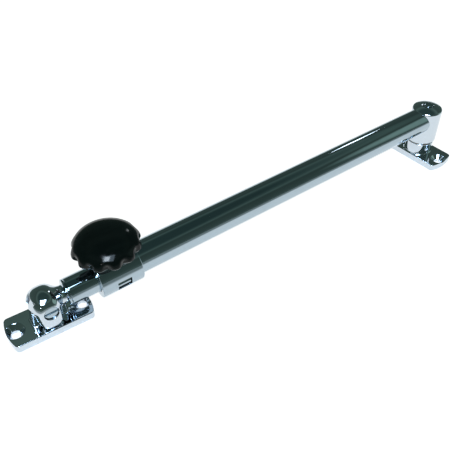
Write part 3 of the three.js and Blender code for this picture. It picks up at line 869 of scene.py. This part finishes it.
def drill(radius, depth, place):
    low, high = depth
    corners = [(0, low), (radius, low), (radius, high), (0, high)]
    return settle(spin("drill", corners, steel, tubeSizes["drillSides"]), place)


def boxCutter(low, high):
    mesh = bpy.data.meshes.new("cutter")
    work = bmesh.new()
    bmesh.ops.create_cube(work, size=1)
    for vertex in work.verts:
        for axis in range(3):
            vertex.co[axis] = (high[axis] if vertex.co[axis] > 0 else low[axis]) * mm
    work.to_mesh(mesh)
    work.free()
    return linked("cutter", mesh)


def makeOuterTube():
    given = tubeSizes
    low, high = extent("outer_tube", stayPlace)
    saddleStart = reach - given["saddle"]
    rows = [knobAt - tubeRows["knob"], knobAt + tubeRows["knob"], low[0] + tubeRows["left"]]
    rows += [reach - away for away in tubeRows["right"]]
    corners = ringProfile(given["outerBore"], high[1], low[0], saddleStart, given["ease"], rows)
    tube = spin("outerTube", corners, chrome, given["sides"])
    for vertex in tube.data.vertices:
        if vertex.co.z > (saddleStart - given["saddleZone"]) * mm:
            across = vertex.co.y / mm
            vertex.co.z += (given["saddle"] - math.sqrt(given["saddle"] ** 2 - across ** 2)) * mm
    tube.data.transform(Matrix.Rotation(math.pi / 2, 4, "Y"))
    bored(tube, drill(given["shoeHole"], given["shoeDepth"], Matrix.Translation((knobAt * mm, 0, 0))))
    lockAt = reach + barrelSizes["lockAt"]
    bored(tube, drill(given["lockHole"], given["lockDepth"], Matrix.Translation((lockAt * mm, 0, 0))))
    keyLow, keyHigh = extent("sleeve_key", stayPlace)
    front, back = given["windowDepth"]
    windowLow = (keyLow[0] - keySizes["gap"], front, sleeveSizes["windowLow"])
    windowHigh = (keyHigh[0] + keySizes["gap"], back, sleeveSizes["windowHigh"])
    bored(tube, boxCutter(windowLow, windowHigh))
    return settle(tube, stayPlace)


def makeInnerTube():
    given = tubeSizes
    low, high = extent("inner_tube", stayPlace)
    pinLow, pinHigh = extent("plug_pin", stayPlace)
    lockAt = (pinLow[0] + pinHigh[0]) / 2
    rows = (lockAt - tubeRows["lock"], lockAt + tubeRows["lock"])
    corners = ringProfile(given["innerBore"], high[1], low[0], high[0], given["ease"], rows)
    tube = spin("innerTube", corners, chrome, given["innerSides"])
    tube.data.transform(Matrix.Rotation(math.pi / 2, 4, "Y"))
    bored(tube, drill(given["lockHole"], given["innerLockDepth"], Matrix.Translation((lockAt * mm, 0, 0))))
    return settle(tube, stayPlace)


handIn(makeOuterTube(), "outer_tube")
handIn(makeInnerTube(), "inner_tube")
print("tubes made")

# Plug in the inner tube's end: a polished flange with a turned step, and a bored shank.
plugSizes = {
    "chamfer": 0.4, "flangeEnd": 10.5, "flangeEdge": 0.12, "shank": 5.1, "shankEdge": 0.3,
    "bore": 3.1, "boreEdge": 0.2, "pocket": 4.0, "pocketStart": 13.7,
}


def makePlug():
    given = plugSizes
    low, high = extent("swivel_plug", stayPlace)
    bore, shank, pocket = given["bore"], given["shank"], given["pocket"]
    middle = (low[0] + given["pocketStart"]) / 2
    return settle(spin("swivelPlug", [
        (bore, middle), (bore, low[0], given["boreEdge"]),
        (high[1], low[0], given["chamfer"]), (high[1], given["flangeEnd"], given["flangeEdge"]),
        (shank, given["flangeEnd"]), (shank, high[0], given["shankEdge"]),
        (pocket, high[0], given["boreEdge"]), (pocket, given["pocketStart"]),
        (bore, given["pocketStart"]), (bore, middle),
    ], chrome), alongTube)


handIn(makePlug(), "swivel_plug")

# Knob: a low crown inside a rim of twelve soft lobes, over a tapered skirt with a hollowed underside.
knobSizes = {
    "radius": 16.5, "rimLow": 16.9, "rimHigh": 17.4, "crownSide": 2.5, "crownRise": 1.8, "belowTop": 0.03,
    "insertRoom": 4.3, "insertTop": 19.5, "insertEdge": 0.2, "hub": 6.6, "hollow": 1.4, "hollowEnd": 9.6,
    "draft": 0.4, "hollowRound": 0.4, "edge": 0.3, "skirt": 0.5, "skirtFoot": 1, "skirtRise": 0.8,
    "lobes": 12, "lobeDepth": 1.7, "lobeTurn": 6, "lobeSharpness": 1.7, "fluteFrom": 11.0, "fluteEnd": 2,
    "fadeFrom": 17.6, "fadeTo": 21.0, "crownSteps": 32, "sides": 288,
}


def makeKnob():
    given = knobSizes
    low, high = extent("knob_body", knobPlace)
    radius, bottom, top = given["radius"], low[2], high[2] - given["belowTop"]
    foot = radius - given["rimLow"] + bottom
    draft, edge, hollowRound = given["draft"], given["edge"], given["hollowRound"]
    hollowTop = bottom + given["hollow"]
    corners = [
        (0, given["insertTop"]), (given["insertRoom"], given["insertTop"], given["insertEdge"]),
        (given["insertRoom"], bottom, edge), (given["hub"], bottom, edge),
        (given["hub"] + draft, hollowTop, hollowRound), (given["hollowEnd"] - draft, hollowTop, hollowRound),
        (given["hollowEnd"], bottom, edge), (foot, bottom, hollowRound),
        (foot + given["skirtFoot"], bottom + given["skirt"]),
        (radius - given["skirt"], given["rimLow"] - given["skirtRise"], edge),
        (radius, given["rimLow"], edge), (radius, given["rimHigh"]),
    ]
    steps = given["crownSteps"]
    for step in range(1, steps + 1):
        rise = math.sin(step / steps * math.pi / 2)
        across = radius * max(1 - rise ** given["crownRise"], 0) ** (1 / given["crownSide"])
        corners.append((across if step < steps else 0, given["rimHigh"] + (top - given["rimHigh"]) * rise))
    return settle(spin("knobBody", corners, knobBlack, given["sides"], {
        "Lobes": given["lobes"], "Lobe depth": given["lobeDepth"] * mm,
        "Lobe turn": math.radians(given["lobeTurn"]), "Lobe sharpness": given["lobeSharpness"],
        "Lobe inside": given["fluteFrom"] * mm, "Lobe outside": (radius - given["fluteEnd"]) * mm,
        "Lobe fade from": given["fadeFrom"] * mm, "Lobe fade to": given["fadeTo"] * mm,
    }), knobPlace)


handIn(makeKnob(), "knob_body")

# Clamp stud: an M6 thread with a plain turned tip.
studSizes = {
    "pitch": 1.0, "depth": 0.35, "tip": 0.7, "plainTip": 1, "plainEnd": 0.5, "rowsPerPitch": 12,
    "tipEdge": 0.15, "coneEdge": 0.1, "endEdge": 0.3, "sides": 48,
}


def makeStud():
    given = studSizes
    low, high = extent("clamp_stud", knobPlace)
    radius = high[0]
    start, end = low[2] + given["plainTip"], high[2] - given["plainEnd"]
    rows = round((end - start) / given["pitch"] * given["rowsPerPitch"])
    threaded = [(radius, start + (end - start) * row / rows) for row in range(rows + 1)]
    return settle(spin("clampStud", [
        (0, low[2]), (radius - given["tip"], low[2], given["tipEdge"]),
        (radius, low[2] + given["tip"], given["coneEdge"]), *threaded,
        (radius, high[2], given["endEdge"]), (0, high[2]),
    ], steel, given["sides"], {
        "Thread pitch": given["pitch"] * mm, "Thread depth": given["depth"] * mm,
        "Thread from": start * mm, "Thread to": end * mm,
    }), knobPlace)


handIn(makeStud(), "clamp_stud")

ringSides = 96    # facets round the swivel pin and the rings

# Swivel pin: a low domed head over a plain shank with a reduced end.
postSizes = {
    "head": 3.0, "headDeep": 1.2, "headDrop": 0.3, "crownDrop": 0.05, "crownShare": 0.6, "crownRound": 1.0,
    "headEdge": 0.2, "underEdge": 0.15, "shank": 2.4, "shankEdge": 0.1,
    "tip": 2.0, "tipLong": 2.7, "tipEdge": 0.3,
}


def makeSwivelPin():
    given = postSizes
    low, high = extent("swivel_pin", rightPlace)
    under, tipEnd = high[2] - given["headDeep"], low[2] + given["tipLong"]
    head, shank, tip = given["head"], given["shank"], given["tip"]
    return settle(spin("swivelPin", [
        (0, low[2]), (tip, low[2], given["tipEdge"]), (tip, tipEnd),
        (shank, tipEnd, given["shankEdge"]), (shank, under), (head, under, given["underEdge"]),
        (head, high[2] - given["headDrop"], given["headEdge"]),
        (head * given["crownShare"], high[2] - given["crownDrop"], given["crownRound"]), (0, high[2]),
    ], chrome, ringSides), rightPlace)


handIn(makeSwivelPin(), "swivel_pin")
print("turned pieces made")


# Rings: bushes, washers, collars and nuts, each turned to the size of its own CAD node.
rings = {
    "fork_washer_front": {"place": acrossTube, "bore": 2.8, "ease": 0.1},
    "fork_washer_back": {"place": acrossTube, "bore": 2.8, "ease": 0.1},
    "knuckle_bush": {"place": acrossTube, "bore": 2.8, "ease": 0.15},
    "swivel_collar": {"place": alongTube, "bore": 2.1, "ease": 0.2},
    "mouth_bush": {"place": alongTube, "bore": 7.0, "ease": 0.15},
    "thrust_washer": {"place": rightPlace, "bore": 2.7, "ease": 0.15},
    "swivel_nut": {"place": rightPlace, "bore": 2.3, "ease": 0.25},
    "barrel_bush_lower": {"place": barrelPlace, "bore": 2.7, "ease": 0.2},
    "barrel_bush_upper": {"place": barrelPlace, "bore": 2.7, "ease": 0.2},
}


def makeRing(node, given):
    low, high = extent(node, given["place"])
    corners = ringProfile(given["bore"], high[0], low[2], high[2], given["ease"])
    name = node.title().replace("_", "")
    ring = spin(name[0].lower() + name[1:], corners, finishOf[slotOf[node]], ringSides)
    return settle(ring, given["place"])


for node, given in rings.items():
    handIn(makeRing(node, given), node)
print("rings made")

# Plain pieces that keep their CAD shape and only take a finish.
for node in ("plug_pin", "barrel_pin", "tail_guide", "brake_shoe", "knob_insert"):
    for holder in frame["nodes"][node].material_slots:
        holder.material = finishOf[slotOf[node]]

# Floor, surround and lights

studio = {
    "floorGlow": 0.86, "floorColour": (0.8, 0.81, 0.82), "floorHalf": 4.0, "floorDrop": 0.0004,
    # painted reflection: the floor's glow as the chrome sees it, pale near the stay and dark past the sheet's edge
    "paintedReflection": (0.86, 0.86, 0.86), "beyond": (0.05, 0.065, 0.06), "paintedSheetEdge": 0.028, "edgeSlope": 0.32,
    "edgeSoft": 0.045, "roughness": 0.9, "specular": 0.1,
    "cloudScale": 3.0, "cloudTint": 0.2, "cloudColour": (0.78, 0.79, 0.8),
    "overhead": 0.7, "overheadSpread": 100,
}


# Painted reflection: the chrome sees the floor as a pale sheet that ends a little way in front of the stay and
# goes dark past it. This colour is painted into the floor's glow for every ray but the camera's; the camera sees
# the floor plain white.
def addFloor(given):
    half, drop = given["floorHalf"], given["floorDrop"]
    mesh = bpy.data.meshes.new("floor")
    corners = [(x * half, y * half, -drop) for x, y in ((-1, -1), (1, -1), (1, 1), (-1, 1))]
    mesh.from_pydata(corners, [], [(0, 1, 2, 3)])
    floor = linked("floor", mesh)
    material, sheet, where = newFinish("paleFloor")
    cloud = sheet.noise(where, given["cloudScale"]) * given["cloudTint"]
    grey = sheet.blend(cloud, given["floorColour"], given["cloudColour"])
    across = sheet.add("ShaderNodeSeparateXYZ", {}, {0: where})
    # Painted reflection: past this edge the floor glows dark to every ray but the camera's.
    front = given["paintedSheetEdge"] + across * given["edgeSlope"]
    beyond = sheet.band(across.out("Y") * -1 - front, 0.0, given["edgeSoft"])
    paintedReflection = sheet.blend(beyond, given["paintedReflection"], given["beyond"])
    seen = sheet.add("ShaderNodeLightPath", out="Is Camera Ray")
    finishSurface(sheet, {
        "Base Color": grey, "Roughness": given["roughness"], "Specular IOR Level": given["specular"],
        "Emission Color": sheet.blend(seen, paintedReflection, (1, 1, 1)),
        "Emission Strength": given["floorGlow"],
    })
    mesh.materials.append(material)


# The surround is dark above the horizon, as a dim room is, so that the chrome has something to mirror.
surround = {
    "zenith": (0.028, 0.052, 0.047), "middle": (0.055, 0.085, 0.072), "low": (0.11, 0.15, 0.135),
    "middleAt": 0.22, "dimAt": 0.68, "dim": 0.8, "glowAt": 0.78, "glow": 1.5, "zenithAt": 0.9,
    "backdrop": (0.93, 0.94, 0.95),
    "patchWay": (0.8, -0.48, 0.36), "patch": (0.25, 0.36, 0.31), "patchSoft": (0.93, 0.975),
}


def addSurround(given):
    world = bpy.data.worlds.new("surround")
    world.use_nodes = True
    bpy.context.scene.world = world
    sheet = Sheet(world.node_tree)
    way = sheet.add("ShaderNodeTexCoord", out="Generated")
    rise = sheet.add("ShaderNodeSeparateXYZ", {}, {0: way}).out("Z")
    dim, glow = (tuple(part * given[key] for part in given["middle"]) for key in ("dim", "glow"))
    room = sheet.add("ShaderNodeValToRGB", {"stops": (
        (0.0, given["low"]), (1.0, given["zenith"]), (given["middleAt"], given["middle"]),
        (given["dimAt"], dim), (given["glowAt"], glow), (given["zenithAt"], given["zenith"]),
    )}, {0: rise})
    toPatch = sheet.add("ShaderNodeVectorMath", {"operation": "DOT_PRODUCT"}, {
        0: way, 1: Vector(given["patchWay"]).normalized(),
    }, out=1)
    patch = sheet.band(toPatch, *given["patchSoft"])
    room = sheet.blend(patch, room, given["patch"])
    seen = sheet.add("ShaderNodeLightPath", out="Is Camera Ray")
    colour = sheet.blend(seen, room, given["backdrop"])
    backdrop = sheet.add("ShaderNodeBackground", {}, {"Color": colour, "Strength": 1.0})
    sheet.add("ShaderNodeOutputWorld", {}, {"Surface": backdrop})


def addOverhead(given):
    data = bpy.data.lights.new("overhead", "SUN")
    data.energy = given["overhead"]
    data.angle = math.radians(given["overheadSpread"])
    light = linked("overhead", data)
    light.visible_glossy = False


# Soft lamps that show only as reflections: on the knob and the dome, on the barrel's top and its shoulder.
lamps = {
    "window": {"way": (-0.28, -0.41, 0.87), "away": 1.2, "size": (0.26, 0.42),
               "glow": 26.0, "tint": (0.8, 0.9, 1.0)},
    "haze": {"way": (-0.22, -0.45, 0.86), "away": 1.4, "size": (0.66, 0.74),
             "glow": 6.5, "tint": (0.6, 0.8, 1.0)},
    "far": {"way": (0.67, 0.53, 0.52), "away": 1.2, "size": (0.1, 0.1),
            "glow": 6.0, "tint": (0.9, 0.95, 1.0)},
    "spot": {"way": (-0.57, -0.69, 0.44), "away": 1.2, "size": (0.06, 0.06),
             "glow": 12.0, "tint": (1.0, 0.97, 1.0)},
}


def addLamp(name, given, target):
    data = bpy.data.lights.new(name, "AREA")
    data.shape = "RECTANGLE"
    data.size, data.size_y = given["size"]
    data.energy = given["glow"] * math.pi * data.size * data.size_y
    data.color = given["tint"]
    lamp = linked(name, data)
    way = Vector(given["way"]).normalized()
    place = way.to_track_quat("Z", "Y").to_matrix().to_4x4()
    place.translation = target + way * given["away"]
    lamp.matrix_world = place
    lamp.visible_camera = False
    lamp.visible_diffuse = False


addFloor(studio)
addSurround(surround)
addOverhead(studio)
for name, given in lamps.items():
    addLamp(name, given, knobPlace.translation)
bpy.context.scene.view_settings.view_transform = "Standard"
print("studio set")
